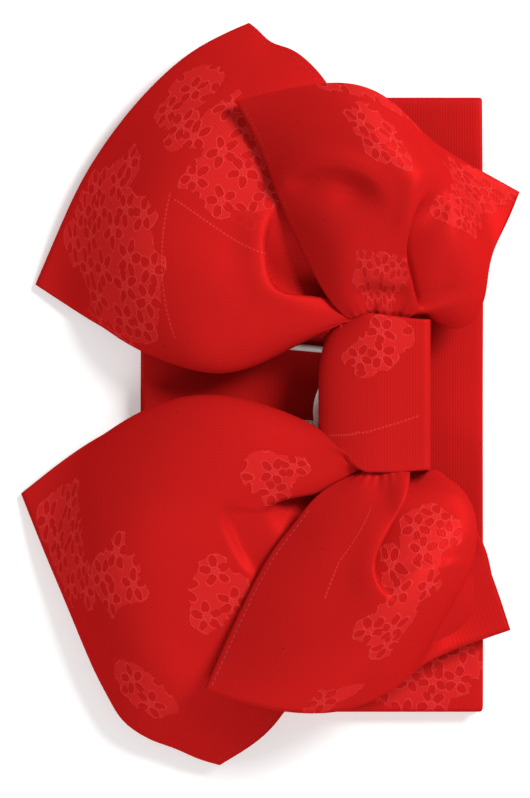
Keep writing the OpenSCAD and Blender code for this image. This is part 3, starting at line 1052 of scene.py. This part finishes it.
def satin_material(name, cloth, patches, lines, rib_shade):
    """Red satin with fine ribs along the strip, painted shade in the grooves between them, and blossom
    patches woven in a little lighter.

    Each patch is (one end, other end, half width) and each line is (one end, other end), in mm as
    seen from above.
    """
    graph = Graph(name)
    uv = graph.tree.nodes.new("ShaderNodeUVMap")
    uv.uv_map = "cloth"
    flat = uv.outputs[0]
    _, across, _ = graph.split(flat)

    raised, threads = blossoms(graph, cloth, flat, patches)
    for one, other in lines:
        threads = graph.math("MAXIMUM", threads, chain_line(graph, cloth, flat, one, other))
    rib = graph.math("SINE", graph.product(across, 2 * math.pi / RIB_PITCH))
    rib = graph.math("MULTIPLY_ADD", rib, 0.5, 0.5)
    weave = graph.noise(graph.vector("MULTIPLY", flat, (900.0, 3600.0, 1.0)), 1.0, 2.0)
    cloudy = graph.noise(flat, 22.0, 3.0)

    base = graph.mix(cloudy, SATIN_DEEP, SATIN_BRIGHT)
    # Painted shade: the grooves between the ribs are darkened towards the groove colour.
    shade = graph.product(graph.math("SUBTRACT", 1.0, rib), rib_shade)
    ribbed = graph.mix(shade, base, SATIN_GROOVE_SHADE)
    woven = graph.mix(graph.product(raised, 0.5), ribbed, SATIN_RAISED)
    traced = graph.mix(graph.product(threads, 0.3), woven, SATIN_FLOAT)
    marked = graph.mix(lint_specks(graph, flat), traced, LINT)

    rough = graph.math("MULTIPLY_ADD", weave, 0.08, graph.math("MULTIPLY_ADD", raised, 0.08, 0.47))
    ribs_up = graph.bump(rib, 0.00006, 0.6)
    weave_up = graph.bump(weave, 0.00005, 0.5, ribs_up)
    relief = graph.math("ADD", raised, graph.product(threads, 0.7))
    graph.shader.inputs["Metallic"].default_value = 0.2
    graph.shader.inputs["IOR"].default_value = 1.25
    graph.shader.inputs["Specular IOR Level"].default_value = 0.0
    graph.shader.inputs["Specular Tint"].default_value = (1.0, 0.22, 0.2, 1.0)
    return graph.finish(marked, rough, graph.bump(relief, 0.00016, 0.8, weave_up))


def thread_material(name, colour):
    """Twisted thread: a fine slanting twist, painted a little lighter on its ridges, with painted shade in
    the dips between them.
    """
    graph = Graph(name)
    place = graph.place()
    x, y, z = graph.split(place)
    slant = graph.math("ADD", graph.math("ADD", x, y), graph.product(z, 1.6))
    twist = graph.math("SINE", graph.product(slant, 2 * math.pi / TWIST_PITCH))
    twist = graph.math("MULTIPLY_ADD", twist, 0.5, 0.5)
    fluff = graph.product(graph.noise(place, 1500.0), 0.5)
    # Painted shade: the dips of the twist are darkened towards this colour.
    dark = tuple(c * 0.6 for c in colour)
    light = tuple(min(1.0, c * 1.25) for c in colour)
    body = graph.mix(twist, (*dark, 1.0), (*colour, 1.0))
    return graph.finish(graph.mix(fluff, body, (*light, 1.0)), 0.7, graph.bump(twist, 0.0001))


def vinyl_material():
    """Soft white vinyl, slightly yellowed and scuffed."""
    graph = Graph("white vinyl sleeve")
    place = graph.place()
    stain = graph.noise(place, 60.0, 4.0)
    streaks = graph.noise(graph.vector("MULTIPLY", place, (120.0, 1400.0, 1400.0)), 1.0)
    scuff = graph.step(streaks, 0.58, 0.7)
    clean = graph.mix(stain, (0.86, 0.86, 0.84, 1.0), (0.78, 0.76, 0.70, 1.0))
    worn = graph.mix(graph.product(scuff, 0.4), clean, (0.6, 0.58, 0.54, 1.0))
    rough = graph.math("MULTIPLY_ADD", scuff, 0.25, 0.32)
    return graph.finish(worn, rough, graph.bump(stain, 0.0002, 0.4))


def steel_material():
    """Drawn steel wire with fine lengthways marks and a few dull spots."""
    graph = Graph("drawn steel wire")
    place = graph.place()
    marks = graph.noise(graph.vector("MULTIPLY", place, (150.0, 4000.0, 4000.0)), 1.0, 3.0)
    dull = graph.step(graph.noise(place, 220.0, 4.0), 0.5, 0.65)
    clean = graph.mix(marks, (0.50, 0.50, 0.51, 1.0), (0.66, 0.66, 0.67, 1.0))
    worn = graph.mix(graph.product(dull, 0.5), clean, (0.34, 0.30, 0.27, 1.0))
    graph.shader.inputs["Metallic"].default_value = 1.0
    rough = graph.math("MULTIPLY_ADD", dull, 0.25, 0.28)
    return graph.finish(worn, rough, graph.bump(marks, 0.00003))


def interlining_material():
    """White pressed fibre sheet with loose fibres and faint cloudiness."""
    graph = Graph("white interlining")
    place = graph.place()
    fibres = graph.noise(graph.vector("MULTIPLY", place, (700.0, 2600.0, 1600.0)), 1.0, 5.0)
    cloud = graph.noise(place, 90.0, 3.0)
    pale = graph.mix(cloud, (0.84, 0.83, 0.80, 1.0), (0.90, 0.89, 0.87, 1.0))
    grain = graph.product(graph.step(fibres, 0.5, 0.7), 0.35)
    fibrous = graph.mix(grain, pale, (0.66, 0.63, 0.58, 1.0))
    return graph.finish(fibrous, 0.88, graph.bump(fibres, 0.0002))


# ---------------- the scene

# Where each cloth's blossom patches and woven lines lie, as they are seen from above.
PATTERNS = {
    "rear_upper_wing": {
        "patches": [
            ((-34, 146), (-36, 130), 13),
            ((-39, 126), (-42, 110), 8),
            ((-36, 98), (0, 86), 11),
            ((-27, 106), (-6, 104), 13),
            ((-31, 118), (-13, 121), 11),
            ((-75, 76), (-73, 50), 28),
            ((-71, 46), (-64, 26), 20),
            ((-80, 95), (-62, 100), 7),
        ],
        "lines": [((-44, 90), (-44, 24)), ((-43, 87), (-1, 62))],
    },
    "rear_lower_wing": {
        "patches": [
            ((-99, -50), (-87, -88), 14),
            ((-74, -88), (-62, -78), 11),
            ((-34, -91), (-12, -90), 12),
            ((-10, -34), (9, -38), 11),
            ((-70, -126), (-45, -141), 10),
        ],
        "lines": [],
    },
    "front_upper_wing": {
        "patches": [
            ((40, 119), (53, 115), 13),
            ((22, 137), (66, 127), 6),
            ((78, 78), (108, 91), 13),
            ((38, 49), (60, 50), 10),
        ],
        "lines": [],
    },
    "front_lower_wing": {
        "patches": [
            ((46, -106), (62, -96), 12),
            ((54, -84), (70, -84), 13),
            ((66, -76), (72, -54), 12),
            ((19, -137), (40, -131), 5),
        ],
        "lines": [((45, -50), (31, -75)), ((31, -75), (24, -92))],
    },
    "knot_wrap": {
        "patches": [((40, 8), (45, 24), 8), ((46, 24), (62, 26), 9)],
        "lines": [((26, -19), (40, -18)), ((40, -18), (66, -10))],
    },
    "folded_band": {"patches": [((50, -136), (92, -124), 14)], "lines": []},
}
PLAIN = {"patches": [], "lines": []}

make_camera()
make_studio()
make_floor()

cloths = {}
for wing_name, wing_data, is_flipped in (
    ("rear_upper_wing", REAR_UPPER, False),
    ("rear_lower_wing", REAR_LOWER, True),
    ("front_upper_wing", FRONT_UPPER, False),
    ("front_lower_wing", FRONT_LOWER, True),
):
    cloths[wing_name] = make_wing(wing_name, wing_data, is_flipped)
cloths["knot_wrap"] = make_knot()
knot_lining = make_knot_lining()
cloths["folded_band"] = make_band()
cloths["rear_gather"] = make_gather("rear_gather", z=33.4, height=8.0)
cloths["front_gather"] = make_gather("front_gather", z=42.4, height=6.0)

for cloth_name, (piece, cloth) in cloths.items():
    pattern = PATTERNS.get(cloth_name, PLAIN)
    rib_shade = BAND_RIB_SHADE if cloth_name == "folded_band" else RIB_SHADE
    satin = satin_material("satin " + cloth_name, cloth, **pattern, rib_shade=rib_shade)
    piece.data.materials.append(satin)

red_thread = thread_material("red thread", (0.42, 0.008, 0.008))
grey_thread = thread_material("grey thread", (0.30, 0.07, 0.075))
white_thread = thread_material("white thread", (0.80, 0.79, 0.75))
interlining = interlining_material()
node_materials = {
    "band_core": interlining,
    "band_end_stitches": red_thread,
    "knot_stitches": red_thread,
    "hook_tacking": red_thread,
    "gather_binding": white_thread,
    "hook_wire": steel_material(),
    "upper_leg_sleeve": vinyl_material(),
    "lower_leg_sleeve": vinyl_material(),
}
knot_lining.data.materials.append(interlining)
for node_name, material in node_materials.items():
    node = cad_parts[node_name]
    node.data.materials.clear()
    node.data.materials.append(material)

for wing_name, side_name, column, thread in (
    ("front_upper_wing", "gap", 2, red_thread),
    ("front_lower_wing", "gap", 2, grey_thread),
    ("rear_lower_wing", "far", ACROSS - 3, red_thread),
    ("rear_upper_wing", "far", ACROSS - 3, red_thread),
):
    row = edge_stitches(wing_name + "_" + side_name + "_stitches", cloths[wing_name][1], column)
    row.data.materials.append(thread)
